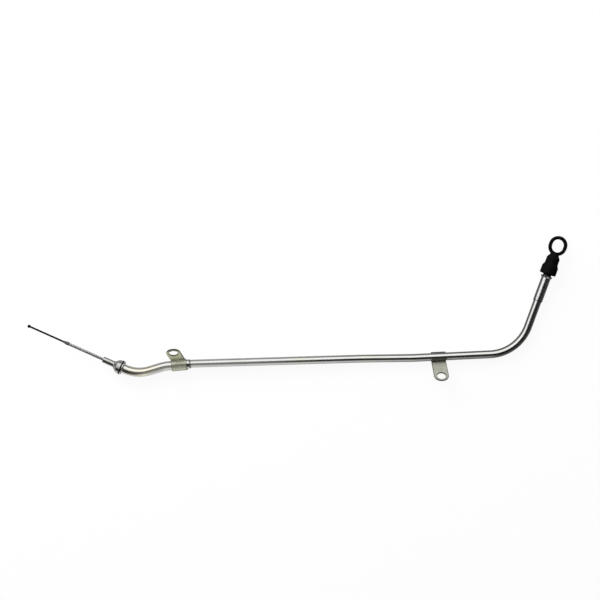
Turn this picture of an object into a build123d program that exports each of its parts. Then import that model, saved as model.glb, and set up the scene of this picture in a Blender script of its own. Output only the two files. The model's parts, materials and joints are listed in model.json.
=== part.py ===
from build123d import *
from math import cos, radians, tan
import os

# Engine oil dipstick in its bent guide tube, lying as it comes to rest.
# Millimetres and degrees. The origin is on the spigot's axis, at the foot of its seating cone.
# +X runs along the tube towards the handle, +Z is up from the surface that the part lies on.

# Tube stock and the gaps of its brazed joints
main_diameter = 9.5
main_wall = 0.9
lower_wall = 0.75
sleeve_wall = 0.75
braze_gap = 0.05

# Route of the tube, flat in its lying plane: a heading and a run to each next corner
spigot_heading = -24.3
rise_heading = 16.6
strap_heading = 5.0
long_heading = 1.64
sag_heading = 0.69
upper_heading = 2.67
leg_heading = 70.2
root_to_first_bend = 30.1
rise_run = 35.5
strap_run = 33.75
long_run = 203.0
sag_run = 60.0
upper_run = 128.0
leg_run = 98.4
first_bend_radius = 42.0
rise_bend_radius = 45.0
strap_bend_radius = 100.0
sag_bend_radius = 600.0
set_bend_radius = 150.0
handle_bend_radius = 50.5

# Where the tubes end and how far they reach into each other
lower_tube_past_bend = 30.15
main_tube_from_bend = 6.6
lower_end_bevel = 0.55
sleeve_length = 32.0
main_end_below_lip = 14.0

# Block spigot: a turned fitting with a seating cone, a collar and a seal groove
spigot_diameter = 7.4
spigot_length = 14.2
spigot_bore = 5.0
cone_length = 4.4
cone_diameter = 15.2
collar_diameter = 17.0
collar_length = 4.2
groove_width = 1.7
flange_length = 2.0
flange_diameter = 16.4
socket_depth = 5.8
spigot_edge_round = 0.8
cone_foot_round = 2.0
collar_edge_round = 1.0

# Sealing ring in the collar's groove
seal_section = 1.6
seal_proud = 0.25
seal_groove_gap = 0.05

# Flared lip of the mouth sleeve
lip_diameter = 13.4
lip_thickness = 1.2
flare_length = 2.7

# Strap brackets: sheet wrapped round the tube, ending in a tab with a bolt hole
strap_thickness = 1.6
bolt_hole_diameter = 10.6
tab_corner_trim = 0.2
lower_strap_width = 18.2
lower_strap_past_bend = 17.25
lower_strap_start = 250.0
lower_fold_past_crown = 30.0
lower_fold_radius = 2.0
lower_tab_tilt = 53.0
lower_tab_lean = 10.5
lower_tab_inset = 1.4
lower_hole_reach = 15.8
lower_hole_to_end = 8.2
upper_strap_width = 17.5
upper_strap_past_set = 32.0
upper_strap_start = -25.0
upper_tab_tilt = 51.0
upper_hole_reach = 27.1
upper_hole_to_end = 7.5

# Cap and pull ring, measured up the handle axis from the sleeve's lip
cap_above_lip = 2.4
skirt_diameter = 19.4
skirt_height = 9.2
shoulder_height = 4.0
waist_diameter = 15.6
waist_height = 7.2
crown_height = 4.0
neck_diameter = 10.5
neck_height = 2.0
skirt_edge_round = 0.9
cap_edge_round = 1.5
ring_diameter = 22.1
ring_hole_diameter = 13.8
ring_stretch = 1.9
ring_thickness = 4.2
ring_sink = 2.6
ring_edge_round = 1.6
ring_root_round = 0.8

# Rubber plug under the cap
plug_length = 11.0
plug_diameter = 8.6
plug_rib_count = 3
plug_rib_pitch = 2.8
plug_rib_from_end = 3.0
plug_seal_clearance = 0.08
plug_shoulder_gap = 0.3
plug_shoulder_overlap = 0.1
plug_stem_diameter = 6.8
plug_stem_length = 5.2
plug_edge_round = 0.9

# Cable, its anchor in the cap and the measuring tip
cable_diameter = 3.7
cable_fit = 0.05
anchor_wall = 1.1
anchor_length = 10.5
anchor_crown_room = 0.6
cable_end_room = 0.5
cable_clear_of_bend = 3.4
cable_split_gap = 0.1
cable_inside_spigot = 1.5
cable_past_spigot = 46.8
ferrule_wall = 0.2
ferrule_length = 7.0
ferrule_grip = 2.2
ferrule_nose_length = 4.4
ferrule_nose_wall = 0.2
tip_rod_diameter = 2.2
tip_rod_length = 49.9
tip_ball_diameter = 3.9

# Radii and heights that follow from the sizes above
main_radius = main_diameter / 2
main_bore_radius = main_radius - main_wall
sleeve_bore_radius = main_radius + braze_gap
sleeve_radius = sleeve_bore_radius + sleeve_wall
lower_bore_radius = main_radius + braze_gap
lower_radius = lower_bore_radius + lower_wall
collar_radius = collar_diameter / 2
groove_start = cone_length + collar_length
groove_end = groove_start + groove_width
collar_end = groove_end + flange_length
socket_floor = collar_end - socket_depth
seal_radius = seal_section / 2
seal_ring_radius = collar_radius + seal_proud - seal_radius
groove_radius = seal_ring_radius - seal_radius - seal_groove_gap
cable_radius = cable_diameter / 2
skirt_top = cap_above_lip + skirt_height
waist_start = skirt_top + shoulder_height
waist_top = waist_start + waist_height
neck_start = waist_top + crown_height
neck_top = neck_start + neck_height
ring_height = neck_top - ring_sink + (ring_diameter + ring_stretch) / 2
stem_top = cap_above_lip + plug_stem_length
anchor_top = stem_top + anchor_length
handle_bend_reach = handle_bend_radius * tan(radians(leg_heading - upper_heading) / 2)
cable_top_below_lip = leg_run - handle_bend_reach - cable_clear_of_bend


def along(start, heading, distance):
    """Point a distance from start in the lying plane, in the direction of a heading."""
    return Vector(start) + Vector(distance, 0, 0).rotate(Axis.Z, heading)


# Corners of the route in the lying plane
root = Vector(0, 0, 0)
first_corner = along(root, spigot_heading, root_to_first_bend)
rise_corner = along(first_corner, rise_heading, rise_run)
strap_corner = along(rise_corner, strap_heading, strap_run)
sag_corner = along(strap_corner, long_heading, long_run)
set_corner = along(sag_corner, sag_heading, sag_run)
handle_corner = along(set_corner, upper_heading, upper_run)
lip_centre = along(handle_corner, leg_heading, leg_run)

# The part lies on the spigot's seal, the upper strap and the rim of the cap's skirt
lower_strap_centre = along(rise_corner, strap_heading, lower_strap_past_bend)
upper_strap_centre = along(set_corner, upper_heading, upper_strap_past_set)
seal_support = along(root, spigot_heading, (groove_start + groove_end) / 2)
seal_support += Vector(0, 0, -seal_ring_radius - seal_radius)
strap_support = upper_strap_centre - Vector(0, 0, main_radius + braze_gap + strap_thickness)
skirt_support = along(lip_centre, leg_heading, cap_above_lip + skirt_edge_round)
skirt_support -= Vector(0, 0, skirt_diameter / 2)
up = (strap_support - seal_support).cross(skirt_support - seal_support).normalized()
resting = Plane((0, 0, 0), x_dir=(1, 0, -up.X / up.Z), z_dir=up)
lying = Plane(
    (0, 0, 0),
    x_dir=resting.to_local_coords(Vector(1, 0, 0)),
    z_dir=resting.to_local_coords(Vector(0, 0, 1)),
)


def across(point, heading):
    """Plane square to a straight run: x to the run's left, y up, z along the run."""
    left = Vector(0, 1, 0).rotate(Axis.Z, heading)
    ahead = Vector(1, 0, 0).rotate(Axis.Z, heading)
    return Plane(
        lying.from_local_coords(point),
        x_dir=lying.from_local_coords(left),
        z_dir=lying.from_local_coords(ahead),
    )


def lathe_plane(section):
    """Plane for turned profiles: x is the radius and y runs along the section's axis."""
    return Plane(section.origin, x_dir=section.x_dir, z_dir=-section.y_dir)


def lathe_axis(section):
    """Axis through a section plane, along its run."""
    return Axis(section.origin, section.z_dir)


def rounded_outline(*corners):
    """Closed outline through corners given as radius, height and edge round."""
    points = [(radius, height) for radius, height, _ in corners]
    FilletPolyline(*points, radius=[edge_round for *_, edge_round in corners], close=True)


def bent_route(points, bend_radii):
    """Line through route points in the lying plane, with an arc at every inner one."""
    FilletPolyline(*[lying.from_local_coords(point) for point in points], radius=bend_radii)


def tab_plane(section, foot, angle, reach, facing):
    """Plane on a tab's upper face: y runs out along the tab, z leaves its face."""
    outward = Vector(1, 0, 0).rotate(Axis.Z, angle)
    normal = outward.rotate(Axis.Z, facing)
    centre = section.from_local_coords(Vector(foot) + outward * reach)
    z_dir = section.from_local_coords(normal) - section.origin
    y_dir = section.from_local_coords(outward) - section.origin
    return Plane(centre, x_dir=y_dir.cross(z_dir), z_dir=z_dir)


spigot_section = across(root, spigot_heading)
leg_section = across(lip_centre, leg_heading)
lower_strap_section = across(lower_strap_centre, strap_heading)
upper_strap_section = across(upper_strap_centre, upper_heading)

# Block spigot, turned with its cone, collar, seal groove and rear socket
with BuildPart() as block_spigot:
    with BuildSketch(lathe_plane(spigot_section)):
        with BuildLine():
            rounded_outline(
                (spigot_bore / 2, -spigot_length, 0),
                (spigot_diameter / 2, -spigot_length, spigot_edge_round),
                (spigot_diameter / 2, 0, cone_foot_round),
                (cone_diameter / 2, cone_length, collar_edge_round),
                (collar_radius, groove_start, 0),
                (groove_radius, groove_start, 0),
                (groove_radius, groove_end, 0),
                (flange_diameter / 2, groove_end, 0),
                (flange_diameter / 2, collar_end, collar_edge_round),
                (lower_radius + braze_gap, collar_end, 0),
                (lower_radius + braze_gap, socket_floor, 0),
                (spigot_bore / 2, socket_floor, 0),
            )
        make_face()
    revolve(axis=lathe_axis(spigot_section))

# Sealing ring in the collar's groove
with BuildPart() as spigot_seal:
    with BuildSketch(lathe_plane(spigot_section)):
        with Locations((seal_ring_radius, (groove_start + groove_end) / 2)):
            Circle(seal_radius)
    revolve(axis=lathe_axis(spigot_section))

# Lower tube with the S-bend, from the fitting's socket to just past the lower strap
lower_start = along(root, spigot_heading, socket_floor)
lower_end = along(rise_corner, strap_heading, lower_tube_past_bend)
with BuildPart() as lower_tube:
    with BuildLine(lying):
        bent_route(
            [lower_start, first_corner, rise_corner, lower_end],
            [first_bend_radius, rise_bend_radius],
        )
    with BuildSketch(across(lower_start, spigot_heading)):
        Circle(lower_radius)
        Circle(lower_bore_radius, mode=Mode.SUBTRACT)
    sweep()
    end_rims = lower_tube.edges().filter_by(GeomType.CIRCLE).sort_by(lathe_axis(lower_strap_section))
    chamfer(end_rims[-2:].sort_by(SortBy.RADIUS)[-1], lower_end_bevel)

# Main tube, from inside the lower tube to inside the mouth sleeve
main_start = along(rise_corner, strap_heading, main_tube_from_bend)
main_end = along(lip_centre, leg_heading, -main_end_below_lip)
with BuildPart() as main_tube:
    with BuildLine(lying):
        bent_route(
            [main_start, strap_corner, sag_corner, set_corner, handle_corner, main_end],
            [strap_bend_radius, sag_bend_radius, set_bend_radius, handle_bend_radius],
        )
    with BuildSketch(across(main_start, strap_heading)):
        Circle(main_radius)
        Circle(main_bore_radius, mode=Mode.SUBTRACT)
    sweep()

# Mouth sleeve with its flared lip
with BuildPart() as mouth_sleeve:
    with BuildSketch(lathe_plane(leg_section)):
        with BuildLine():
            rounded_outline(
                (sleeve_bore_radius, -sleeve_length, 0),
                (sleeve_radius, -sleeve_length, sleeve_wall / 2),
                (sleeve_radius, -flare_length, sleeve_wall),
                (lip_diameter / 2, -lip_thickness, lip_thickness / 4),
                (lip_diameter / 2, 0, lip_thickness / 4),
                (sleeve_bore_radius, 0, lip_thickness / 2),
            )
        make_face()
    revolve(axis=lathe_axis(leg_section))

# Lower bracket: the strap goes under the tube and past its crown, then folds up into a leaning tab
lower_wrap_inner = lower_radius + braze_gap
lower_wrap_outer = lower_wrap_inner + strap_thickness
lower_wrap_end = 90 - lower_fold_past_crown
lower_wrap_turn = lower_wrap_end - lower_strap_start
lower_fold_outer = lower_fold_radius + strap_thickness
lower_fold_start = lower_wrap_end + 180
lower_fold_turn = lower_fold_past_crown + lower_tab_tilt
lower_fold_centre = Vector(lower_wrap_outer + lower_fold_radius, 0).rotate(Axis.Z, lower_wrap_end)
lower_tab_foot = lower_fold_centre + Vector(0, -lower_fold_radius).rotate(Axis.Z, lower_tab_tilt)
lower_tab_face = tab_plane(lower_strap_section, lower_tab_foot, lower_tab_tilt, lower_hole_reach, 90)
lower_tab_width = lower_strap_width - lower_tab_inset
lower_hole_shift = -lower_tab_inset / 2 - lower_hole_reach * tan(radians(lower_tab_lean))
lower_end_shift = -(lower_hole_reach + lower_hole_to_end) * tan(radians(lower_tab_lean))
lower_tab_right = lower_strap_width / 2 - lower_tab_inset
lower_tab_left = -lower_strap_width / 2
lower_tab_end_round = lower_tab_width / 2 * cos(radians(lower_tab_lean)) - tab_corner_trim
with BuildPart() as lower_bracket:
    with BuildSketch(lower_strap_section):
        with BuildLine():
            wrap_in = CenterArc((0, 0), lower_wrap_inner, lower_strap_start, lower_wrap_turn)
            wrap_out = CenterArc((0, 0), lower_wrap_outer, lower_strap_start, lower_wrap_turn)
            fold_at = (lower_fold_centre.X, lower_fold_centre.Y)
            fold_in = CenterArc(fold_at, lower_fold_outer, lower_fold_start, lower_fold_turn)
            fold_out = CenterArc(fold_at, lower_fold_radius, lower_fold_start, lower_fold_turn)
            Line(wrap_in @ 0, wrap_out @ 0)
            Line(fold_in @ 1, fold_out @ 1)
        make_face()
    extrude(amount=lower_strap_width / 2, both=True)
    with BuildSketch(lower_tab_face) as lower_tab:
        with BuildLine():
            Polyline(
                (lower_tab_right, -lower_hole_reach),
                (lower_tab_right + lower_end_shift, lower_hole_to_end),
                (lower_tab_left + lower_end_shift, lower_hole_to_end),
                (lower_tab_left, -lower_hole_reach),
                close=True,
            )
        make_face()
        fillet(lower_tab.vertices().sort_by(Axis.Y)[-2:], lower_tab_end_round)
        with Locations((lower_hole_shift, 0)):
            Circle(bolt_hole_diameter / 2, mode=Mode.SUBTRACT)
    extrude(amount=-strap_thickness)

# Upper bracket: the strap goes under the tube and leaves it straight into the tab
upper_wrap_inner = main_radius + braze_gap
upper_wrap_outer = upper_wrap_inner + strap_thickness
upper_wrap_turn = -(upper_strap_start + 90 + upper_tab_tilt)
upper_tab_angle = 180 - upper_tab_tilt
upper_tab_length = upper_hole_reach + upper_hole_to_end
upper_tab_foot = Vector(upper_wrap_inner, 0).rotate(Axis.Z, upper_strap_start + upper_wrap_turn)
upper_tab_face = tab_plane(upper_strap_section, upper_tab_foot, upper_tab_angle, upper_hole_reach, -90)
with BuildPart() as upper_bracket:
    with BuildSketch(upper_strap_section):
        with BuildLine():
            wrap_in = CenterArc((0, 0), upper_wrap_inner, upper_strap_start, upper_wrap_turn)
            wrap_out = CenterArc((0, 0), upper_wrap_outer, upper_strap_start, upper_wrap_turn)
            tab_in = PolarLine(wrap_in @ 1, upper_tab_length, upper_tab_angle)
            tab_out = PolarLine(wrap_out @ 1, upper_tab_length, upper_tab_angle)
            Line(wrap_in @ 0, wrap_out @ 0)
            Line(tab_in @ 1, tab_out @ 1)
        make_face()
    extrude(amount=upper_strap_width / 2, both=True)
    with Locations(upper_tab_face):
        Hole(bolt_hole_diameter / 2, 2 * strap_thickness)
    tab_corners = upper_bracket.edges().filter_by(Axis((0, 0, 0), upper_tab_face.z_dir))
    tab_corners = tab_corners.sort_by(Axis(upper_tab_face.origin, upper_tab_face.y_dir))[-2:]
    fillet(tab_corners, upper_strap_width / 2 - tab_corner_trim)

# Rubber plug with sealing ribs, a shoulder over the lip and a stem up into the cap
plug_radius = plug_diameter / 2
plug_rib_radius = sleeve_bore_radius - plug_seal_clearance - plug_radius
plug_shoulder_radius = sleeve_bore_radius + plug_shoulder_overlap
cable_hole_radius = cable_radius + cable_fit
with BuildPart() as sealing_plug:
    with BuildSketch(lathe_plane(leg_section)):
        with BuildLine():
            rounded_outline(
                (cable_hole_radius, -plug_length, 0),
                (plug_radius, -plug_length, plug_edge_round),
                (plug_radius, plug_shoulder_gap, 0),
                (plug_shoulder_radius, plug_shoulder_gap, 0),
                (plug_shoulder_radius, cap_above_lip, 0),
                (plug_stem_diameter / 2, cap_above_lip, 0),
                (plug_stem_diameter / 2, stem_top, 0),
                (cable_hole_radius, stem_top, 0),
            )
        make_face()
        for rib in range(plug_rib_count):
            with Locations((plug_radius, -plug_length + plug_rib_from_end + rib * plug_rib_pitch)):
                Circle(plug_rib_radius)
    revolve(axis=lathe_axis(leg_section))

# Crimp on the cable's top end, held in the cap
anchor_radius = cable_hole_radius + anchor_wall
with BuildPart() as cable_anchor:
    with BuildSketch(leg_section.offset(stem_top)):
        Circle(anchor_radius)
        Circle(cable_hole_radius, mode=Mode.SUBTRACT)
    extrude(amount=anchor_length)

# Cap and pull ring, one moulding
ring_plane = Plane(
    leg_section.offset(ring_height).origin,
    x_dir=leg_section.z_dir,
    z_dir=leg_section.y_dir,
)
with BuildPart() as pull_ring:
    with BuildSketch(ring_plane):
        SlotCenterToCenter(ring_stretch, ring_diameter)
        SlotCenterToCenter(ring_stretch, ring_hole_diameter, mode=Mode.SUBTRACT)
    extrude(amount=ring_thickness / 2, both=True)
    fillet(pull_ring.edges().filter_by(Axis((0, 0, 0), ring_plane.z_dir), reverse=True), ring_edge_round)
with BuildPart() as pull_cap:
    with BuildSketch(lathe_plane(leg_section)):
        with BuildLine():
            rounded_outline(
                (plug_stem_diameter / 2 + cable_fit, cap_above_lip, 0),
                (skirt_diameter / 2, cap_above_lip, skirt_edge_round),
                (skirt_diameter / 2, skirt_top, cap_edge_round),
                (waist_diameter / 2, waist_start, cap_edge_round),
                (waist_diameter / 2, waist_top, cap_edge_round),
                (neck_diameter / 2, neck_start, cap_edge_round),
                (neck_diameter / 2, neck_top, ring_root_round),
                (0, neck_top, 0),
                (0, anchor_top + anchor_crown_room, 0),
                (anchor_radius + cable_fit, anchor_top + anchor_crown_room, 0),
                (anchor_radius + cable_fit, stem_top, 0),
                (plug_stem_diameter / 2 + cable_fit, stem_top, 0),
            )
        make_face()
    revolve(axis=lathe_axis(leg_section))
    add(pull_ring.part)
    fillet(pull_cap.edges(Select.NEW), ring_root_round)

# Cable: a straight end in the handle, a middle along the tube and a straight end out of the spigot
cable_split_top = along(lip_centre, leg_heading, -cable_top_below_lip)
cable_middle_top = along(lip_centre, leg_heading, -cable_top_below_lip - cable_split_gap)
cable_split_low = along(root, spigot_heading, cable_inside_spigot - spigot_length)
cable_middle_low = along(cable_split_low, spigot_heading, cable_split_gap)
with BuildPart() as cable_upper:
    with BuildSketch(across(cable_split_top, leg_heading)):
        Circle(cable_radius)
    extrude(amount=cable_top_below_lip + anchor_top - cable_end_room)

with BuildPart() as cable_middle:
    with BuildLine(lying):
        bent_route(
            [
                cable_middle_low,
                first_corner,
                rise_corner,
                strap_corner,
                sag_corner,
                set_corner,
                handle_corner,
                cable_middle_top,
            ],
            [
                first_bend_radius,
                rise_bend_radius,
                strap_bend_radius,
                sag_bend_radius,
                set_bend_radius,
                handle_bend_radius,
            ],
        )
    with BuildSketch(across(cable_middle_low, spigot_heading)):
        Circle(cable_radius)
    sweep()

with BuildPart() as cable_lower:
    with BuildSketch(across(cable_split_low, spigot_heading)):
        Circle(cable_radius)
    extrude(amount=-(cable_inside_spigot + cable_past_spigot))

# Crimp that joins the tip rod to the cable, measured along the spigot from the cable's end
cable_end = along(root, spigot_heading, -spigot_length - cable_past_spigot)
tip_section = across(cable_end, spigot_heading)
ferrule_radius = cable_hole_radius + ferrule_wall
ferrule_nose = ferrule_grip - ferrule_length
rod_hole_radius = tip_rod_diameter / 2 + cable_fit
with BuildPart() as tip_ferrule:
    with BuildSketch(lathe_plane(tip_section)):
        with BuildLine():
            rounded_outline(
                (rod_hole_radius, ferrule_nose, 0),
                (rod_hole_radius + ferrule_nose_wall, ferrule_nose, 0),
                (ferrule_radius, ferrule_nose + ferrule_nose_length, ferrule_nose_length / 4),
                (ferrule_radius, ferrule_grip, ferrule_wall / 2),
                (cable_hole_radius, ferrule_grip, 0),
                (cable_hole_radius, 0, 0),
                (rod_hole_radius, 0, 0),
            )
        make_face()
    revolve(axis=lathe_axis(tip_section))

# Measuring tip: a thin rod with a ball on its end
with BuildPart() as tip_rod:
    with BuildSketch(tip_section):
        Circle(tip_rod_diameter / 2)
    extrude(amount=-tip_rod_length)
    with Locations(tip_section.offset(-tip_rod_length)):
        Sphere(tip_ball_diameter / 2)

pieces = {
    "block_spigot": block_spigot,
    "spigot_seal": spigot_seal,
    "lower_tube": lower_tube,
    "main_tube": main_tube,
    "mouth_sleeve": mouth_sleeve,
    "lower_bracket": lower_bracket,
    "upper_bracket": upper_bracket,
    "sealing_plug": sealing_plug,
    "cable_anchor": cable_anchor,
    "pull_cap": pull_cap,
    "cable_upper": cable_upper,
    "cable_middle": cable_middle,
    "cable_lower": cable_lower,
    "tip_ferrule": tip_ferrule,
    "tip_rod": tip_rod,
}
os.makedirs("parts", exist_ok=True)
for name, piece in pieces.items():
    piece.part.label = name
    export_step(piece.part, f"parts/{name}.step")
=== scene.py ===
import json
from math import radians, tau

import bmesh
import bpy
from mathutils import Matrix, Vector


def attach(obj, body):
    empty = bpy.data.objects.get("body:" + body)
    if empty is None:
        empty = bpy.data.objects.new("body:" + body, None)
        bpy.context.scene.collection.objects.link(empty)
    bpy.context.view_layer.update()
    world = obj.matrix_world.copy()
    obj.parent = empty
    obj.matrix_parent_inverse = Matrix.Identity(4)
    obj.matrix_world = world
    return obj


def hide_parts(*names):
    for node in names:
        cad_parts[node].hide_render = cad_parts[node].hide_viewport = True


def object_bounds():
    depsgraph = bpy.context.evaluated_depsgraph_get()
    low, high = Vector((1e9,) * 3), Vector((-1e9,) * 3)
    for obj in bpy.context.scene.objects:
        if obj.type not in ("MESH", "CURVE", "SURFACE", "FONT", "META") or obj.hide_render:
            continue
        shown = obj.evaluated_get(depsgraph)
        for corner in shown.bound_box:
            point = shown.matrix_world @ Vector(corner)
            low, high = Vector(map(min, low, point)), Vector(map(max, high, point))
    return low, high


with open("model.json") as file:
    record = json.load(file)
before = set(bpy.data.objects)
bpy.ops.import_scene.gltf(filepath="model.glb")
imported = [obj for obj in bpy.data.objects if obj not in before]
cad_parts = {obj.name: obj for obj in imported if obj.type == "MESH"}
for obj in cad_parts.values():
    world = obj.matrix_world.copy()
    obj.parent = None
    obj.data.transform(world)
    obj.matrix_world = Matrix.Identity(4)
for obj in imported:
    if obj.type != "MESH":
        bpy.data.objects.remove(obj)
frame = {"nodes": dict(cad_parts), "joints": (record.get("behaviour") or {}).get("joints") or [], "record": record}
cad_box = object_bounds()

# All lengths are in metres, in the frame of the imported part.
scene = bpy.context.scene
nodes = frame["nodes"]
joint_axis = {joint["name"]: Vector(joint["axis"]) for joint in frame["joints"]}
holes = {mount["name"]: mount for mount in frame["record"]["mounts"]}
MILLIMETRE = 0.001
FLOOR_HEIGHT = cad_box[0][2]

# Tube stock, as drawn
MAIN_RADIUS = 0.00475
MAIN_WALL = 0.0009
LOWER_RADIUS = 0.00555
LOWER_WALL = 0.00075
LOWER_END_BEVEL = 0.00045
RIM_ANGLE = radians(60)
RIM_CREASE = radians(35)
BEVEL_STEPS = 2
BEND_STEPS = 40
TUBE_SIDES = 64

# Sheet of the brackets, and the border over which the painted shade of a sheared edge fades out
SHEET_THICKNESS = 0.0016
SHEET_EDGE = 0.00025
SHEET_EDGE_ANGLE = radians(40)
SHEET_EDGE_SHADE = 0.0009
SAME_POINT = 0.000001
SAME_PLANE = radians(0.5)
CUT_SLACK = 0.00001
STRAP_SLACK = 0.0001

# How far a face of the sheet looks along a direction
LEVEL = 0.9999
SLOPED = 0.95
ENDWAYS = 0.8
SIDEWAYS = 0.3

# Route of the tube in its lying plane: headings in degrees, runs from corner to corner
SPIGOT_HEADING = -24.3
RISE_HEADING = 16.6
STRAP_HEADING = 5.0
LONG_HEADING = 1.64
SAG_HEADING = 0.69
UPPER_HEADING = 2.67
ROOT_TO_FIRST_BEND = 0.0301
RISE_RUN = 0.0355
STRAP_RUN = 0.03375
LONG_RUN = 0.203
SAG_RUN = 0.06
UPPER_RUN = 0.128
LEG_RUN = 0.0984
FIRST_BEND = 0.042
RISE_BEND = 0.045
STRAP_BEND = 0.1
SAG_BEND = 0.6
SET_BEND = 0.15
HANDLE_BEND = 0.0505
SOCKET_FLOOR = 0.0065
LOWER_TUBE_PAST_BEND = 0.03015
MAIN_TUBE_FROM_BEND = 0.0066
MAIN_END_BELOW_LIP = 0.014
LOWER_STRAP_PAST_BEND = 0.01725
UPPER_STRAP_PAST_SET = 0.032

# Cable: four strands laid to the left, each twisted from wires
CABLE_RADIUS = 0.00185
STRAND_RADIUS = 0.0007
STRAND_COUNT = 4
STRAND_SIDES = 20
STRAND_STEPS = 40
LAY_LENGTH = 0.0118
WIRES_IN_STRAND = 9.0
WIRE_LAY = 0.006

# Colours of the finishes
TUBE_PLATING = (0.56, 0.565, 0.555, 1), (0.70, 0.70, 0.68, 1)
SLEEVE_PLATING = (0.56, 0.57, 0.57, 1), (0.70, 0.70, 0.69, 1)
FITTING_PLATING = (0.42, 0.42, 0.40, 1), (0.58, 0.58, 0.56, 1)
OLIVE_TINT = (0.52, 0.52, 0.33, 1), (0.68, 0.68, 0.48, 1)
PALE_TINT = (0.46, 0.465, 0.37, 1), (0.60, 0.605, 0.53, 1)
WIRE_STEEL = (0.58, 0.58, 0.57, 1), (0.76, 0.76, 0.75, 1)
WARM_PLATING = (0.63, 0.62, 0.52, 1)
YELLOW_PLATING = (0.72, 0.68, 0.56, 1)
PLATING_SPECK = (0.34, 0.34, 0.31, 1)
# Dark of brazed joints, also used for painted shade
BRAZE_AND_PAINTED_SHADE = (0.05, 0.045, 0.03, 1)
FITTING_DIRT = (0.18, 0.17, 0.14, 1)
SHEET_PATCH = (0.64, 0.64, 0.57, 1)
RUBBED_SHEET = (0.60, 0.60, 0.54, 1)
# Painted shade along the brackets' sheared edges
PAINTED_EDGE_SHADE = (0.03, 0.03, 0.027, 1)
OLD_OIL = (0.24, 0.23, 0.19, 1)
# Painted shade between the cable's wires
PAINTED_SHADE_BETWEEN_WIRES = (0.05, 0.05, 0.045, 1)

# Places of wear, stain and painted shade. A pair is where a mask starts and where it is full.
LINES_AROUND = (9.0, 9.0, 0.0)
LINES_ALONG = 22.0
YELLOWED_TO = (0.13, 0.05)
DULL_TO = (0.33, 0.12)
JOINT_BRAZE = (0.0013, 0.0007)
JOINT_BRAZE_RAGGED = 0.0016
# Painted shade on the tube under the upper tab
TAB_SHADE_DEPTH = (0.001, 0.0026)
TAB_SHADE_DEPTH_RAGGED = 0.001
TAB_SHADE_REACH = (0.0125, 0.0085)
TAB_SHADE_REACH_RAGGED = 0.002
SLEEVE_RINGS = 2600.0
# Painted shade at the sleeve's brazed foot and on its lip under the cap
SLEEVE_FOOT_SHADE = (0.0014, 0.0008)
SLEEVE_FOOT_SHADE_RAGGED = 0.0006
LIP_SHADE = (-0.0016, -0.0009)
LIP_SHADE_RAGGED = 0.0004
FITTING_RINGS = 3200.0
ROLLING_GRAIN = (90.0, 1400.0, 1400.0)
STRAP_BAND_RAGGED = 0.001
STRAP_SPAN = (0.0085, 0.0065)
# Painted shade on a tab's end, past its hole
TAB_END_SHADE = (0.0040, 0.0056)
# Per bracket: painted shade on the strap by the tab's fold, a rubbed strap, painted shade at the tab's end
LOWER_WEAR_AND_PAINTED_SHADE = {
    "painted_shade_from": (-0.0026, -0.0016),
    "painted_shade_to": (0.0015, 0.0003),
    "painted_shade_depth": 0.45,
    "strap_rub": 0.5,
    "painted_end_shade": 0.7,
}
UPPER_WEAR_AND_PAINTED_SHADE = {
    "painted_shade_from": (0.0039, 0.0049),
    "painted_shade_to": (0.0068, 0.0056),
    "painted_shade_depth": 0.05,
    "strap_rub": 0.0,
    "painted_end_shade": 0.0,
}

# Photograph: its frame, its scale at the tube and the pixel where the part's origin lies
PHOTO_SIZE = 600
METRES_PER_PIXEL = 0.0012
ORIGIN_PIXEL = (113.99, 364.2)
CAMERA_HEIGHT = 1.2
SENSOR_WIDTH = 36.0

# Floor: its own light, and how it shows in reflections
FLOOR_REACH = 4.0
FLOOR_TONE = 0.97
FLOOR_OWN_LIGHT = 0.93
FLOOR_IN_GLOSS = 0.45
FLOOR_FRONT = (-0.005, -0.05)
FLOOR_FADE = (0.12, 0.5)
FLOOR_FADE_DEPTH = 0.8

# Room: a bright wall with a dark foot, up and to the left, and dim sides
WALL_SIDE, WALL_EDGE = (-0.45, 0.75, 0.48), (0.45, 0.72)
FOOT_SIDE, FOOT_EDGE = (-0.51, 0.86, 0.0), (0.1, 0.4)
FOOT_TOP = (0.34, 0.22)
DIM_SIDE, DIM_EDGE = (0.94, -0.31, 0.15), (0.25, 0.7)
LOW_SIDE, LOW_EDGE = (-0.75, -0.62, 0.2), (0.62, 0.88)
FRONT_SIDE, FRONT_EDGE = (0.0, -1.0, 0.0), (0.7, 0.97)
ROOM_LEVEL = 0.65
WALL_GLOW = 0.75
FRONT_GLOW = 0.4
DARK_DEPTH = 0.92

# Dark flag over the part, with a paler field, and the key light on the wall's side
FLAG_HEIGHT = 1.3
FLAG_LOW = (-0.75, -1.35)
FLAG_HIGH = (1.6, 0.31)
FLAG_PALE_LEFT = (-0.24, -0.1)
FLAG_PALE_RIGHT = (0.27, 0.06)
FLAG_PALE_LEVEL = 0.3
KEY_DISTANCE = 1.7
KEY_SIZE = 1.2
KEY_WATTS = 42.0


class Wire:
    """An output of a node. Arithmetic on it adds Math nodes to the same tree."""

    def __init__(self, graph, node, output=0):
        self.graph = graph
        self.node = node
        self.output = output

    @property
    def socket(self):
        return self.node.outputs[self.output]

    def out(self, output):
        return Wire(self.graph, self.node, output)

    def __add__(self, other):
        return self.graph.calc("ADD", self, other)

    def __radd__(self, other):
        return self.graph.calc("ADD", other, self)

    def __sub__(self, other):
        return self.graph.calc("SUBTRACT", self, other)

    def __rsub__(self, other):
        return self.graph.calc("SUBTRACT", other, self)

    def __mul__(self, other):
        return self.graph.calc("MULTIPLY", self, other)

    def __rmul__(self, other):
        return self.graph.calc("MULTIPLY", other, self)

    def __truediv__(self, other):
        return self.graph.calc("DIVIDE", self, other)

    def __rtruediv__(self, other):
        return self.graph.calc("DIVIDE", other, self)


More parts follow.
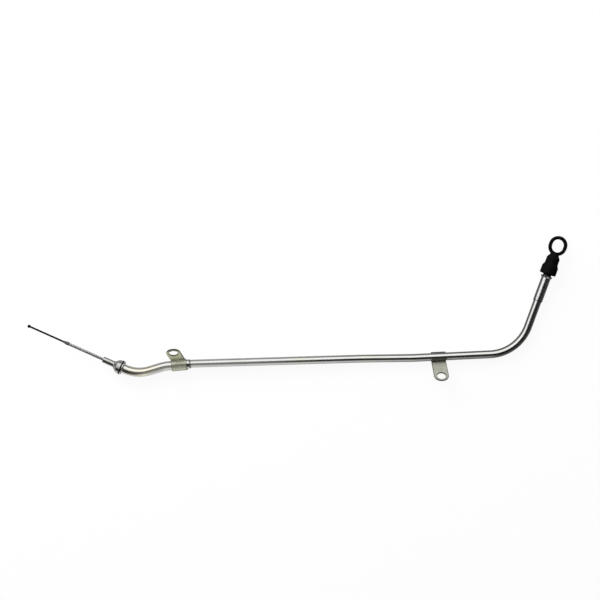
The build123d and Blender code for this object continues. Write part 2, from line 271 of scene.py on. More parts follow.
class Graph:
    """A node tree that nodes are added to by type, settings and sockets."""

    def __init__(self, tree):
        self.tree = tree

    def node(self, kind, settings=None, sockets=None, output=0):
        made = self.tree.nodes.new(kind)
        for name, value in (settings or {}).items():
            setattr(made, name, value)
        for key, value in (sockets or {}).items():
            if isinstance(value, Wire):
                self.tree.links.new(value.socket, made.inputs[key])
            else:
                made.inputs[key].default_value = value
        return Wire(self, made, output)

    def calc(self, operation, first, second=0.0):
        return self.node("ShaderNodeMath", {"operation": operation}, {0: first, 1: second})

    def vector(self, operation, first, second=(0, 0, 0), output=0):
        return self.node("ShaderNodeVectorMath", {"operation": operation}, {0: first, 1: second}, output)

    def dot(self, first, second):
        return self.vector("DOT_PRODUCT", first, second, "Value")

    def distance_along(self, place, start, direction):
        """How far a place lies from a start along a direction."""
        return self.dot(self.vector("SUBTRACT", place, start), direction)

    def mix(self, factor, low, high):
        return self.node("ShaderNodeMix", {"data_type": "RGBA"}, {0: factor, 6: low, 7: high}, 2)

    def step(self, value, low, high):
        """0 at low and 1 at high, with a smooth way between. Low may be the larger number."""
        return self.node(
            "ShaderNodeMapRange",
            {"interpolation_type": "SMOOTHSTEP"},
            {"Value": value, "From Min": low, "From Max": high},
        )

    def noise(self, place, scale, detail=2.0, roughness=0.5):
        return self.node(
            "ShaderNodeTexNoise",
            None,
            {"Vector": place, "Scale": scale, "Detail": detail, "Roughness": roughness},
        )

    def rings(self, height, per_metre):
        """Uneven lathe rings along a height."""
        return self.noise(self.combine(height * per_metre, 0.0, 0.0), scale=1.0, detail=3.0)

    def place(self):
        return self.node("ShaderNodeTexCoord", None, None, "Object")

    def attribute(self, name, output="Fac"):
        return self.node("ShaderNodeAttribute", {"attribute_name": name}, None, output)

    def split(self, vector):
        return self.node("ShaderNodeSeparateXYZ", None, {0: vector})

    def combine(self, x, y, z):
        return self.node("ShaderNodeCombineXYZ", None, {0: x, 1: y, 2: z})

    def bump(self, height, strength, distance):
        return self.node(
            "ShaderNodeBump",
            None,
            {"Height": height, "Strength": strength, "Distance": distance},
        )


def grey(value):
    return (value, value, value, 1)


def new_material(name):
    """A material with an empty tree, and the graph that fills it."""
    material = bpy.data.materials.new(name)
    material.use_nodes = True
    material.node_tree.nodes.clear()
    return material, Graph(material.node_tree)


def surface(graph, sockets):
    """Ends a material's tree in one surface shader."""
    shader = graph.node("ShaderNodeBsdfPrincipled", None, sockets)
    graph.node("ShaderNodeOutputMaterial", None, {"Surface": shader})


def node_span(node, direction):
    """Lowest and highest place of a node along a direction."""
    places = [vertex.co.dot(direction) for vertex in nodes[node].data.vertices]
    return min(places), max(places)


# Route of the tube, from the two directions that the joints give


def turned_from_spigot(heading):
    """Direction of a heading in the lying plane, which holds the spigot and the leg."""
    return Matrix.Rotation(radians(heading - SPIGOT_HEADING), 3, lying_normal) @ along_spigot


along_spigot = joint_axis["tip_draw"]
along_leg = joint_axis["handle_pull"]
lying_normal = along_spigot.cross(along_leg).normalized()
along_strap = turned_from_spigot(STRAP_HEADING)
along_upper = turned_from_spigot(UPPER_HEADING)
root = Vector((0, 0, 0))
first_corner = root + along_spigot * ROOT_TO_FIRST_BEND
rise_corner = first_corner + turned_from_spigot(RISE_HEADING) * RISE_RUN
strap_corner = rise_corner + along_strap * STRAP_RUN
sag_corner = strap_corner + turned_from_spigot(LONG_HEADING) * LONG_RUN
set_corner = sag_corner + turned_from_spigot(SAG_HEADING) * SAG_RUN
handle_corner = set_corner + along_upper * UPPER_RUN
lip_centre = handle_corner + along_leg * LEG_RUN
lower_tube_end = rise_corner + along_strap * LOWER_TUBE_PAST_BEND


class Strap:
    """Where a bracket sits: the middle of its strap on the tube, the tube's run there and its tab's hole."""

    def __init__(self, middle, run, tube_radius, hole):
        self.middle = middle
        self.run = run
        self.down = run.cross(lying_normal)
        self.reach = tube_radius + SHEET_THICKNESS
        self.hole_centre = Vector(hole["pos_m"])
        self.hole_axis = Vector(hole["axis"])
        self.hole_radius = hole["dims"]["r_mm"] * MILLIMETRE
        in_tab = self.hole_axis.cross(run)
        self.outwards = in_tab if in_tab.dot(self.hole_centre - middle) > 0 else -in_tab


lower_strap = Strap(
    rise_corner + along_strap * LOWER_STRAP_PAST_BEND, along_strap, LOWER_RADIUS, holes["lower_tab_hole"]
)
upper_strap = Strap(
    set_corner + along_upper * UPPER_STRAP_PAST_SET, along_upper, MAIN_RADIUS, holes["upper_tab_hole"]
)


# Finishes


def plated_tube_finish():
    """Bright zinc on drawn tube: fine lines, warm patches, a dark brazed ring at the joint, painted shade under
    the upper tab, yellowed at the engine's end.
    """
    material, graph = new_material("plated_tube")
    place = graph.place()
    around = graph.vector("MULTIPLY", graph.attribute("around", "Vector"), LINES_AROUND)
    along = graph.combine(0.0, 0.0, graph.attribute("along") * LINES_ALONG)
    lines = graph.noise(graph.vector("ADD", around, along), scale=2.2, detail=4.0)
    clouds = graph.noise(place, scale=70.0, detail=3.0)
    warm = graph.step(graph.noise(place, scale=38.0), low=0.48, high=0.66)
    specks = graph.step(graph.noise(place, scale=1100.0, detail=1.0), low=0.70, high=0.78)
    drops = graph.noise(place, scale=420.0)
    from_engine = graph.split(place).out(0)
    yellowed = graph.step(from_engine, *YELLOWED_TO)
    dull = graph.step(from_engine, *DULL_TO) - yellowed * 0.9
    plating = graph.mix(clouds, *TUBE_PLATING)
    tone = graph.mix(warm * 0.5, plating, WARM_PLATING)
    aged = graph.mix(yellowed * (0.15 + warm * 0.7), tone, YELLOW_PLATING)
    specked = graph.mix(specks * 0.3, aged, PLATING_SPECK)
    from_joint = graph.distance_along(place, lower_tube_end, along_strap)
    off_joint = graph.calc("ABSOLUTE", from_joint + (drops - 0.5) * JOINT_BRAZE_RAGGED)
    ring = graph.step(off_joint, *JOINT_BRAZE)
    # Painted shade on the tube under the upper strap, where its tab leaves the tube
    from_strap = graph.distance_along(place, upper_strap.middle, along_upper)
    aside = graph.calc("ABSOLUTE", from_strap) + drops * TAB_SHADE_REACH_RAGGED
    below = graph.distance_along(place, upper_strap.middle, upper_strap.down)
    under = graph.step(below + drops * TAB_SHADE_DEPTH_RAGGED, *TAB_SHADE_DEPTH)
    painted_tab_shade = graph.step(aside, *TAB_SHADE_REACH) * under
    braze_and_painted_shade = graph.calc("MAXIMUM", ring * 0.5, painted_tab_shade * 0.85)
    surface(
        graph,
        {
            "Base Color": graph.mix(braze_and_painted_shade, specked, BRAZE_AND_PAINTED_SHADE),
            "Metallic": 1.0,
            "Roughness": 0.06 + lines * 0.07 + clouds * 0.05 + specks * 0.1 + dull * 0.12 + braze_and_painted_shade * 0.4,
            "Normal": graph.bump(lines, strength=0.03, distance=0.0002),
        },
    )
    return material


def plated_sleeve_finish():
    """The tube's plating on the turned sleeve: lathe rings, painted shade at its brazed foot and on its lip under
    the cap.
    """
    material, graph = new_material("plated_sleeve")
    place = graph.place()
    height = graph.dot(place, along_leg)
    rings = graph.rings(height, SLEEVE_RINGS)
    clouds = graph.noise(place, scale=90.0, detail=3.0)
    foot, lip = node_span("mouth_sleeve", along_leg)
    # Painted shade at the sleeve's brazed foot and on its lip under the cap
    braze_and_painted_shade = graph.step(height + clouds * SLEEVE_FOOT_SHADE_RAGGED, *(foot + rise for rise in SLEEVE_FOOT_SHADE))
    rubbed_and_painted_shade = graph.step(height + clouds * LIP_SHADE_RAGGED, *(lip + rise for rise in LIP_SHADE))
    dark = graph.calc("MAXIMUM", braze_and_painted_shade, rubbed_and_painted_shade)
    plating = graph.mix(clouds, *SLEEVE_PLATING)
    surface(
        graph,
        {
            "Base Color": graph.mix(dark * 0.9, plating, BRAZE_AND_PAINTED_SHADE),
            "Metallic": 1.0,
            "Roughness": 0.08 + rings * 0.07 + clouds * 0.04 + dark * 0.3,
            "Normal": graph.bump(rings, strength=0.10, distance=0.0002),
        },
    )
    return material


def turned_fitting_finish():
    """Zinc on the turned fitting: lathe rings and clouded plating, dull where dirt has settled."""
    material, graph = new_material("turned_fitting")
    place = graph.place()
    rings = graph.rings(graph.dot(place, along_spigot), FITTING_RINGS)
    clouds = graph.noise(place, scale=160.0, detail=3.0)
    dirt_and_painted_shade = graph.step(graph.noise(place, scale=320.0, detail=3.0), low=0.52, high=0.72)
    plating = graph.mix(clouds, *FITTING_PLATING)
    surface(
        graph,
        {
            "Base Color": graph.mix(dirt_and_painted_shade * 0.5, plating, FITTING_DIRT),
            "Metallic": 1.0,
            "Roughness": 0.07 + rings * 0.07 + clouds * 0.04 + dirt_and_painted_shade * 0.12,
            "Normal": graph.bump(rings, strength=0.10, distance=0.0003),
        },
    )
    return material


def passivated_sheet_finish(name, tints, strap, wear_and_painted_shade):
    """Passivated zinc: clouded tint, rolling grain, a rubbed strap, painted shade along the sheared edges, on the
    strap by the tab's fold and at the tab's end.
    """
    material, graph = new_material(name)
    place = graph.place()
    clouds = graph.noise(place, scale=150.0, detail=4.0)
    patches = graph.step(graph.noise(place, scale=60.0), low=0.50, high=0.68)
    grain = graph.noise(graph.vector("MULTIPLY", place, ROLLING_GRAIN), scale=1.0, detail=3.0)
    edge_shade = graph.attribute("painted_edge_shade")
    patched = graph.mix(patches * 0.4, graph.mix(clouds, *tints), SHEET_PATCH)
    # Painted shade: a band on the strap by the tab's fold, and the tab's end past its hole
    below = graph.distance_along(place, strap.middle, strap.down) + (clouds - 0.5) * STRAP_BAND_RAGGED
    on_strap = graph.step(graph.calc("ABSOLUTE", below), *STRAP_SPAN)
    face = graph.mix(on_strap * wear_and_painted_shade["strap_rub"], patched, RUBBED_SHEET)
    painted_strap_shade = graph.step(below, *wear_and_painted_shade["painted_shade_from"]) * graph.step(below, *wear_and_painted_shade["painted_shade_to"])
    past_hole = graph.distance_along(place, strap.hole_centre, strap.outwards)
    painted_tab_end_shade = graph.step(past_hole, *TAB_END_SHADE) * wear_and_painted_shade["painted_end_shade"]
    dirt_and_painted_shade = graph.calc("MAXIMUM", painted_strap_shade * wear_and_painted_shade["painted_shade_depth"], painted_tab_end_shade) * (0.7 + clouds * 0.6)
    face_with_painted_shade = graph.mix(dirt_and_painted_shade, face, BRAZE_AND_PAINTED_SHADE)
    surface(
        graph,
        {
            # Painted shade along the sheared edges
            "Base Color": graph.mix(edge_shade * 0.95, face_with_painted_shade, PAINTED_EDGE_SHADE),
            "Metallic": 0.6,
            "Roughness": 0.20 + grain * 0.10 + clouds * 0.06 + edge_shade * 0.2,
            "Normal": graph.bump(grain + clouds, strength=0.16, distance=0.0003),
        },
    )
    return material


def moulded_cap_finish():
    """Satin black moulding with a fine spark texture and a few pale rubbed spots."""
    material, graph = new_material("moulded_cap")
    place = graph.place()
    spark = graph.noise(place, scale=2600.0)
    clouds = graph.noise(place, scale=120.0, detail=3.0)
    rubbed_and_painted_shade = graph.step(graph.noise(place, scale=210.0, detail=4.0, roughness=0.65), low=0.62, high=0.74)
    tone = graph.mix(clouds, grey(0.002), grey(0.005))
    surface(
        graph,
        {
            "Base Color": graph.mix(rubbed_and_painted_shade * 0.3, tone, grey(0.015)),
            "Roughness": 0.44 + spark * 0.12 + rubbed_and_painted_shade * 0.08,
            "Specular IOR Level": 0.04,
            "Normal": graph.bump(spark, strength=0.15, distance=0.0002),
        },
    )
    return material


def rubber_finish():
    """Matt black rubber with a dry bloom in patches."""
    material, graph = new_material("seal_rubber")
    place = graph.place()
    fine = graph.noise(place, scale=1800.0)
    bloom = graph.step(graph.noise(place, scale=260.0, detail=3.0), low=0.48, high=0.75)
    surface(
        graph,
        {
            "Base Color": graph.mix(bloom, grey(0.006), grey(0.018)),
            "Roughness": 0.58 + fine * 0.14 + bloom * 0.1,
            "Specular IOR Level": 0.2,
            "Normal": graph.bump(fine, strength=0.2, distance=0.0002),
        },
    )
    return material


def wire_finish():
    """Drawn steel wires twisted in each strand, painted shade between them, old oil in places."""
    material, graph = new_material("cable_wire")
    place = graph.place()
    across = graph.split(graph.attribute("around", "Vector"))
    angle = graph.calc("ARCTAN2", across.out(1), across.out(0))
    twist = graph.attribute("along") * (tau / WIRE_LAY)
    wires = graph.calc("ABSOLUTE", graph.calc("SINE", (angle * WIRES_IN_STRAND + twist) * 0.5))
    clouds = graph.noise(place, scale=380.0, detail=3.0)
    oil = graph.step(graph.noise(place, scale=140.0), low=0.45, high=0.7)
    oiled = graph.mix(oil * 0.3, graph.mix(clouds, *WIRE_STEEL), OLD_OIL)
    # Painted shade between the wires
    between = graph.step(wires, low=0.45, high=0.0)
    surface(
        graph,
        {
            "Base Color": graph.mix(between, oiled, PAINTED_SHADE_BETWEEN_WIRES),
            "Metallic": 1.0,
            "Roughness": 0.22 + clouds * 0.12 - oil * 0.05,
            "Normal": graph.bump(wires, strength=0.35, distance=0.0001),
        },
    )
    return material


def blackened_tip_finish():
    """Blackened steel with bare metal rubbed through in small spots."""
    material, graph = new_material("blackened_tip")
    place = graph.place()
    clouds = graph.noise(place, scale=420.0, detail=3.0)
    rubbed_and_painted_shade = graph.step(graph.noise(place, scale=700.0, detail=3.0), low=0.63, high=0.74)
    tone = graph.mix(clouds, grey(0.001), grey(0.003))
    surface(
        graph,
        {
            "Base Color": graph.mix(rubbed_and_painted_shade * 0.3, tone, grey(0.02)),
            "Metallic": rubbed_and_painted_shade * 0.2,
            "Roughness": 0.50 + clouds * 0.16,
            "Specular IOR Level": 0.02,
            "Normal": graph.bump(clouds, strength=0.15, distance=0.0001),
        },
    )
    return material


def crimp_finish(name, low, high):
    """Plain crimped steel between two greys, dull, with press marks."""
    material, graph = new_material(name)
    clouds = graph.noise(graph.place(), scale=300.0, detail=4.0)
    surface(
        graph,
        {
            "Base Color": graph.mix(clouds, grey(low), grey(high)),
            "Metallic": 1.0,
            "Roughness": 0.34 + clouds * 0.2,
            "Normal": graph.bump(clouds, strength=0.2, distance=0.0002),
        },
    )
    return material


# Shapes that follow a path


def new_group(name, **inputs):
    """An empty node group with a geometry in and out and named inputs for its sizes."""
    group = bpy.data.node_groups.new(name, "GeometryNodeTree")
    group.interface.new_socket("Geometry", in_out="INPUT", socket_type="NodeSocketGeometry")
    for label, kind in inputs.items():
        group.interface.new_socket(label, in_out="INPUT", socket_type=kind)
    group.interface.new_socket("Geometry", in_out="OUTPUT", socket_type="NodeSocketGeometry")
    graph = Graph(group)
    return group, graph, graph.node("NodeGroupInput")


def close_group(graph, geometry, finish):
    """Ends a group in realized, smooth geometry with its finish."""
    whole = graph.node("GeometryNodeRealizeInstances", None, {"Geometry": geometry})
    smooth = graph.node("GeometryNodeSetShadeSmooth", None, {"Geometry": whole})
    dressed = graph.node("GeometryNodeSetMaterial", None, {"Geometry": smooth, "Material": finish})
    graph.node("NodeGroupOutput", None, {"Geometry": dressed})


def store(graph, geometry, name, value, kind="FLOAT"):
    return graph.node(
        "GeometryNodeStoreNamedAttribute",
        {"data_type": kind, "domain": "POINT"},
        {"Geometry": geometry, "Name": name, "Value": value},
    )


def marked_section(graph, sides, radius):
    """A round section that keeps each point's direction from its centre."""
    section = graph.node(
        "GeometryNodeCurvePrimitiveCircle", {"mode": "RADIUS"}, {"Resolution": sides, "Radius": radius}
    )
    direction = graph.vector("NORMALIZE", graph.node("GeometryNodeInputPosition"))
    return store(graph, section, "around", direction, "FLOAT_VECTOR")


def marked_path(graph, path):
    """A path that keeps each point's distance from its start."""
    return store(graph, path, "along", graph.node("GeometryNodeSplineParameter").out("Length"))


def bent_tube_group(finish):
    """Sweeps a round section along runs with an arc at each corner, and keeps its place on the tube."""
    group, graph, sizes = new_group(
        "bent_tube", Radius="NodeSocketFloat", Sides="NodeSocketInt", Steps="NodeSocketInt"
    )
    corners = graph.node("GeometryNodeMeshToCurve", None, {"Mesh": sizes.out("Geometry")})
    bend = graph.node("GeometryNodeInputNamedAttribute", {"data_type": "FLOAT"}, {"Name": "bend"})
    route = graph.node(
        "GeometryNodeFilletCurve",
        {"mode": "POLY"},
        {"Curve": corners, "Count": sizes.out("Steps"), "Radius": bend, "Limit Radius": True},
    )
    section = marked_section(graph, sizes.out("Sides"), sizes.out("Radius"))
    wall = graph.node(
        "GeometryNodeCurveToMesh", None, {"Curve": marked_path(graph, route), "Profile Curve": section}
    )
    close_group(graph, wall, finish)
    return group


def laid_cable_group(finish):
    """Strands laid to the left as helices round an axis, along +Z from the origin."""
    group, graph, sizes = new_group(
        "laid_cable",
        Length="NodeSocketFloat",
        Lay="NodeSocketFloat",
        Radius="NodeSocketFloat",
        Strand="NodeSocketFloat",
        Strands="NodeSocketInt",
    )
    length = sizes.out("Length")
    lay_radius = sizes.out("Radius") - sizes.out("Strand")
    helix = graph.node(
        "GeometryNodeCurveSpiral",
        None,
        {
            "Resolution": STRAND_STEPS,
            "Rotations": length / sizes.out("Lay"),
            "Start Radius": lay_radius,
            "End Radius": lay_radius,
            "Height": length,
            "Reverse": True,
        },
    )
    section = marked_section(graph, STRAND_SIDES, sizes.out("Strand"))
    strand = graph.node(
        "GeometryNodeCurveToMesh",
        None,
        {"Curve": marked_path(graph, helix), "Profile Curve": section, "Fill Caps": True},
    )
    starts = graph.node(
        "GeometryNodeMeshLine",
        {"mode": "OFFSET"},
        {"Count": sizes.out("Strands"), "Offset": (0, 0, 0)},
    )
    turn = graph.node("GeometryNodeInputIndex") * tau / sizes.out("Strands")
    strands = graph.node(
        "GeometryNodeInstanceOnPoints",
        None,
        {"Points": starts, "Instance": strand, "Rotation": graph.combine(0.0, 0.0, turn)},
    )
    close_group(graph, strands, finish)
    return group


def grow(name, seed_mesh, group, sizes):
    """Runs a node group on a seed and returns the result as a plain mesh object."""
    seed = bpy.data.objects.new(name + "_seed", seed_mesh)
    scene.collection.objects.link(seed)
    modifier = seed.modifiers.new("shape", "NODES")
    modifier.node_group = group
    for item in group.interface.items_tree:
        if item.in_out == "INPUT" and item.name in sizes:
            modifier[item.identifier] = sizes[item.name]
    grown = seed.evaluated_get(bpy.context.evaluated_depsgraph_get())
    mesh = bpy.data.meshes.new_from_object(grown)
    bpy.data.objects.remove(seed)
    piece = bpy.data.objects.new(name, mesh)
    scene.collection.objects.link(piece)
    return piece


def add_bevel(piece, width, angle):
    """Breaks the edges of a piece that are sharper than an angle."""
    bevel = piece.modifiers.new("edge", "BEVEL")
    bevel.width = width
    bevel.segments = BEVEL_STEPS
    bevel.limit_method = "ANGLE"
    bevel.angle_limit = angle


def apply_modifiers(piece):
    """Replaces a piece's mesh by its evaluated one and takes its modifiers off."""
    shaped = piece.evaluated_get(bpy.context.evaluated_depsgraph_get())
    piece.data = bpy.data.meshes.new_from_object(shaped)
    piece.modifiers.clear()


def tube_piece(name, group, corners, bends, radius, wall, end_bevel=0.0):
    """A bent tube with a wall, from its corners and the bend radius at each of them."""
    seed = bpy.data.meshes.new(name + "_route")
    seed.from_pydata(corners, [(i, i + 1) for i in range(len(corners) - 1)], [])
    seed.attributes.new("bend", "FLOAT", "POINT").data.foreach_set("value", bends)
    piece = grow(name, seed, group, {"Radius": radius, "Sides": TUBE_SIDES, "Steps": BEND_STEPS})
    hollow = piece.modifiers.new("wall", "SOLIDIFY")
    hollow.thickness = wall
    hollow.offset = -1.0
    if end_bevel:
        add_bevel(piece, end_bevel, RIM_ANGLE)
    apply_modifiers(piece)
    piece.data.set_sharp_from_angle(angle=RIM_CREASE)
    return piece


def cable_piece(name, group, start, direction, length):
    """A straight stranded cable from a point in a direction."""
    piece = grow(
        name,
        bpy.data.meshes.new(name + "_seed"),
        group,
        {
            "Length": length,
            "Lay": LAY_LENGTH,
            "Radius": CABLE_RADIUS,
            "Strand": STRAND_RADIUS,
            "Strands": STRAND_COUNT,
        },
    )
    turn = Vector((0, 0, 1)).rotation_difference(direction).to_matrix().to_4x4()
    piece.data.transform(Matrix.Translation(start) @ turn)
    return piece


# Brackets from their solids


def shade_edges(shell, strap):
    """Cuts a narrow border along a bracket's sheared edges, over which their painted dark shade fades out."""
    half_width = 0.0
    for vertex in shell.verts:
        from_middle = vertex.co - strap.middle
        aside = from_middle.dot(strap.run)
        if (from_middle - strap.run * aside).length < strap.reach + STRAP_SLACK:
            half_width = max(half_width, abs(aside))
    tab, wrap = [], []
    for face in shell.faces:
        height = (face.calc_center_median() - strap.hole_centre).dot(strap.hole_axis)
        flat = abs(height) < SHEET_THICKNESS and abs(face.normal.dot(strap.hole_axis)) > LEVEL
        (tab if flat else wrap).append(face)
    for side in (strap.run, -strap.run):
        points = dict.fromkeys(point for face in wrap for point in face.verts)
        edges = dict.fromkeys(edge for face in wrap for edge in face.edges)
        bmesh.ops.bisect_plane(
            shell,
            geom=[*points, *edges, *wrap],
            dist=CUT_SLACK,
            plane_co=strap.middle + side * (half_width - SHEET_EDGE_SHADE),
            plane_no=side,
        )
        wrap = [face for face in shell.faces if face not in tab]
    bmesh.ops.inset_region(
        shell, faces=tab, thickness=SHEET_EDGE_SHADE, use_boundary=True, use_even_offset=True
    )


def mark_edge_shade(mesh, strap):
    """Marks the points of a bracket's sheared faces, for the painted shade along them: its strap's sides and free
    end, its tab's outline.
    """
    marks = [0.0] * len(mesh.vertices)
    for face in mesh.polygons:
        from_hole = face.center - strap.hole_centre
        height = from_hole.dot(strap.hole_axis)
        in_hole = (from_hole - strap.hole_axis * height).length < strap.hole_radius + SHEET_EDGE
        tab_end = from_hole.dot(strap.outwards) > 0
        sloped = abs(height) < SHEET_THICKNESS and abs(face.normal.dot(strap.hole_axis)) < SLOPED
        from_middle = face.center - strap.middle
        off_axis = from_middle - strap.run * from_middle.dot(strap.run)
        round_tube = strap.run.cross(off_axis.normalized())
        far_side = off_axis.length < strap.reach and off_axis.dot(strap.outwards) < 0
        free_end = far_side and abs(face.normal.dot(round_tube)) > ENDWAYS
        side = abs(face.normal.dot(strap.run)) > SIDEWAYS
        if side or free_end or (sloped and (in_hole or tab_end)):
            for index in face.vertices:
                marks[index] = 1.0
    mesh.attributes.new("painted_edge_shade", "FLOAT", "POINT").data.foreach_set("value", marks)


def sheet_piece(name, node, strap, finish):
    """A copy of a sheet solid with its sheared edges broken and marked for painted shade."""
    shell = bmesh.new()
    shell.from_mesh(nodes[node].data)
    bmesh.ops.remove_doubles(shell, verts=shell.verts, dist=SAME_POINT)
    bmesh.ops.dissolve_limit(shell, angle_limit=SAME_PLANE, verts=shell.verts, edges=shell.edges)
    shell.normal_update()
    shade_edges(shell, strap)
    shell.verts.index_update()
    plain = bpy.data.meshes.new(name)
    plain.from_pydata(
        [vertex.co for vertex in shell.verts], [], [[v.index for v in face.verts] for face in shell.faces]
    )
    shell.free()
    plain.shade_smooth()
    plain.materials.append(finish)
    piece = bpy.data.objects.new(name, plain)
    scene.collection.objects.link(piece)
    add_bevel(piece, SHEET_EDGE, SHEET_EDGE_ANGLE)
    piece.modifiers.new("faces", "WEIGHTED_NORMAL")
    apply_modifiers(piece)
    mark_edge_shade(piece.data, strap)
    return piece


def keep(piece, body, node):
    """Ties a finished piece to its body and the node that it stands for."""
    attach(piece, body)
    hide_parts(node)


def dress(node, finish):
    """Puts a finish on a node's own solid."""
    mesh = nodes[node].data
    mesh.materials.clear()
    mesh.materials.append(finish)


# Tubes, cable ends and brackets

tube_group = bent_tube_group(plated_tube_finish())
lower_tube = tube_piece(
    "lower_tube_plated",
    tube_group,
    [root + along_spigot * SOCKET_FLOOR, first_corner, rise_corner, lower_tube_end],
    [0, FIRST_BEND, RISE_BEND, 0],
    LOWER_RADIUS,
    LOWER_WALL,
    LOWER_END_BEVEL,
)
keep(lower_tube, "tube", "lower_tube")
main_tube = tube_piece(
    "main_tube_plated",
    tube_group,
    [
        rise_corner + along_strap * MAIN_TUBE_FROM_BEND,
        strap_corner,
        sag_corner,
        set_corner,
        handle_corner,
        lip_centre - along_leg * MAIN_END_BELOW_LIP,
    ],
    [0, STRAP_BEND, SAG_BEND, SET_BEND, HANDLE_BEND, 0],
    MAIN_RADIUS,
    MAIN_WALL,
)
keep(main_tube, "tube", "main_tube")

cable_steel = wire_finish()
cable_group = laid_cable_group(cable_steel)
for node, direction, on_axis, body in (
    ("cable_lower", along_spigot, root, "tip"),
    ("cable_upper", along_leg, lip_centre, "handle"),
):
    low, high = node_span(node, direction)
    start = on_axis + direction * (low - on_axis.dot(direction))
    cable = cable_piece(node + "_laid", cable_group, start, direction, high - low)
    keep(cable, body, node)

for node, strap, finish_name, tints, wear_and_painted_shade in (
    ("lower_bracket", lower_strap, "olive_sheet", OLIVE_TINT, LOWER_WEAR_AND_PAINTED_SHADE),
    ("upper_bracket", upper_strap, "pale_sheet", PALE_TINT, UPPER_WEAR_AND_PAINTED_SHADE),
):
    finish = passivated_sheet_finish(finish_name, tints, strap, wear_and_painted_shade)
    bracket = sheet_piece(node + "_sheet", node, strap, finish)
    keep(bracket, "tube", node)

# Solids that keep their shape

rubber = rubber_finish()
for node, finish in (
    ("block_spigot", turned_fitting_finish()),
    ("spigot_seal", rubber),
    ("mouth_sleeve", plated_sleeve_finish()),
    ("sealing_plug", rubber),
    ("cable_anchor", crimp_finish("crimp_steel", 0.36, 0.55)),
    ("pull_cap", moulded_cap_finish()),
    ("cable_middle", cable_steel),
    ("tip_ferrule", crimp_finish("ferrule_steel", 0.10, 0.20)),
    ("tip_rod", blackened_tip_finish()),
):
    dress(node, finish)


# Stage


def shadow_floor():
    """Pale floor: white to the camera, dimmer to the back and the right in reflections, soft shadow."""
    material, graph = new_material("studio_floor")
    rays = graph.node("ShaderNodeLightPath")
    mirrored = graph.calc("MAXIMUM", rays.out("Is Glossy Ray"), rays.out("Is Transmission Ray"))
    seen = graph.calc("MAXIMUM", rays.out("Is Camera Ray"), mirrored)
    place = graph.split(graph.place())
    front = graph.step(place.out(1), *FLOOR_FRONT)
    fade = 1.0 - graph.step(place.out(0), *FLOOR_FADE) * FLOOR_FADE_DEPTH
    in_gloss = (FLOOR_IN_GLOSS + front * (1.0 - FLOOR_IN_GLOSS)) * fade
    lit = graph.node("ShaderNodeBsdfDiffuse", None, {"Color": grey(FLOOR_TONE)})
    own = graph.node("ShaderNodeEmission", None, {"Color": 1.0 - mirrored * (1.0 - in_gloss)})
    blend = graph.node("ShaderNodeMixShader", None, {0: seen * FLOOR_OWN_LIGHT, 1: lit, 2: own})
    graph.node("ShaderNodeOutputMaterial", None, {"Surface": blend})
    return material


def dark_card():
    """Card of the flag: black, with a paler field that glows a little."""
    material, graph = new_material("studio_flag")
    place = graph.place()
    clouds = graph.noise(place, scale=3.0)
    along = graph.split(place).out(0)
    pale = graph.step(along, *FLAG_PALE_LEFT) * graph.step(along, *FLAG_PALE_RIGHT)
    surface(
        graph,
        {
            "Base Color": graph.mix(clouds, grey(0.015), grey(0.03)),
            "Roughness": 0.8,
            "Emission Color": graph.mix(pale, grey(0.0), grey(FLAG_PALE_LEVEL)),
            "Emission Strength": 1.0,
        },
    )
    return material


def stage_sheet(name, low, high, height, finish):
    """A flat sheet of the stage between two corners."""
    outline = (low[0], low[1]), (high[0], low[1]), (high[0], high[1]), (low[0], high[1])
    mesh = bpy.data.meshes.new(name)
    mesh.from_pydata([(x, y, height) for x, y in outline], [], [(0, 1, 2, 3)])
    mesh.materials.append(finish)
    sheet = bpy.data.objects.new(name, mesh)
    scene.collection.objects.link(sheet)
    return sheet


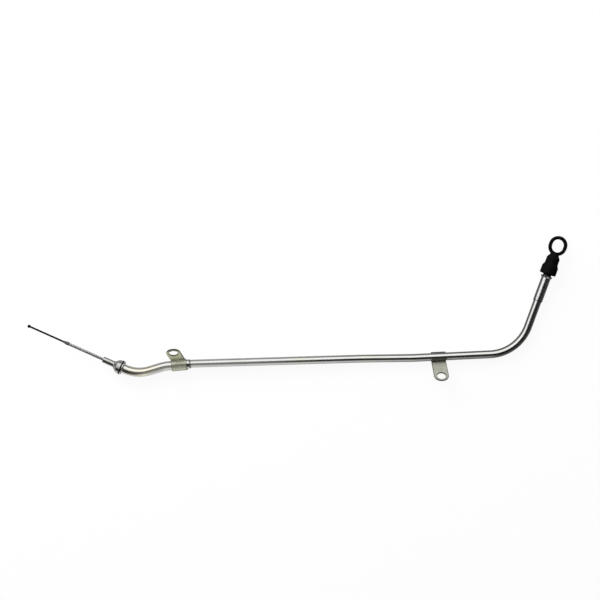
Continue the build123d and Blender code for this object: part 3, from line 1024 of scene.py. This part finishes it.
def studio_dome():
    """Room light: a bright wall with a dark foot and dim sides, white to the camera."""
    world = bpy.data.worlds.new("studio_dome")
    world.use_nodes = True
    world.node_tree.nodes.clear()
    graph = Graph(world.node_tree)
    way = graph.node("ShaderNodeTexCoord", None, None, "Generated")
    wall = graph.step(graph.dot(way, WALL_SIDE), *WALL_EDGE)
    dim = graph.step(graph.dot(way, DIM_SIDE), *DIM_EDGE)
    low = graph.step(graph.dot(way, LOW_SIDE), *LOW_EDGE)
    front = graph.step(graph.dot(way, FRONT_SIDE), *FRONT_EDGE)
    under = graph.step(graph.split(way).out(2), *FOOT_TOP)
    foot = graph.step(graph.dot(way, FOOT_SIDE), *FOOT_EDGE) * under
    dark = graph.calc("MAXIMUM", graph.calc("MAXIMUM", dim, low), foot)
    level = (ROOM_LEVEL + wall * WALL_GLOW + front * FRONT_GLOW) * (1.0 - dark * DARK_DEPTH)
    rays = graph.node("ShaderNodeLightPath")
    room = graph.node("ShaderNodeBackground", None, {"Color": level})
    backdrop = graph.node("ShaderNodeBackground", None, {"Color": grey(1.0)})
    seen = graph.node("ShaderNodeMixShader", None, {0: rays.out("Is Camera Ray"), 1: room, 2: backdrop})
    graph.node("ShaderNodeOutputWorld", None, {"Surface": seen})
    scene.world = world


def soft_light(name, place, aim, size, watts):
    """A square lamp that shines from a place to an aim and shows in no reflection."""
    lamp = bpy.data.lights.new(name, "AREA")
    lamp.size = size
    lamp.energy = watts
    light = bpy.data.objects.new(name, lamp)
    light.location = place
    light.rotation_euler = (aim - place).to_track_quat("-Z", "Y").to_euler()
    light.visible_camera = False
    light.visible_glossy = False
    scene.collection.objects.link(light)


def photo_camera():
    """Camera straight above the part, framed as the photograph is. Returns its place."""
    middle = PHOTO_SIZE / 2
    view_width = PHOTO_SIZE * METRES_PER_PIXEL
    camera = bpy.data.cameras.new("photo_camera")
    camera.sensor_width = SENSOR_WIDTH
    camera.lens = SENSOR_WIDTH * CAMERA_HEIGHT / view_width
    eye = bpy.data.objects.new("photo_camera", camera)
    eye.location = (
        (middle - ORIGIN_PIXEL[0]) * METRES_PER_PIXEL,
        (ORIGIN_PIXEL[1] - middle) * METRES_PER_PIXEL,
        CAMERA_HEIGHT,
    )
    scene.collection.objects.link(eye)
    scene.camera = eye
    return eye.location


near, far = (-FLOOR_REACH, -FLOOR_REACH), (FLOOR_REACH, FLOOR_REACH)
stage_sheet("studio_floor", near, far, FLOOR_HEIGHT, shadow_floor())
flag = stage_sheet("studio_flag", FLAG_LOW, FLAG_HIGH, FLAG_HEIGHT, dark_card())
flag.visible_camera = False
studio_dome()
over_part = photo_camera()
aim = Vector((over_part.x, over_part.y, 0))
soft_light("key_light", aim + Vector(WALL_SIDE).normalized() * KEY_DISTANCE, aim, KEY_SIZE, KEY_WATTS)

scene.view_settings.view_transform = "Standard"
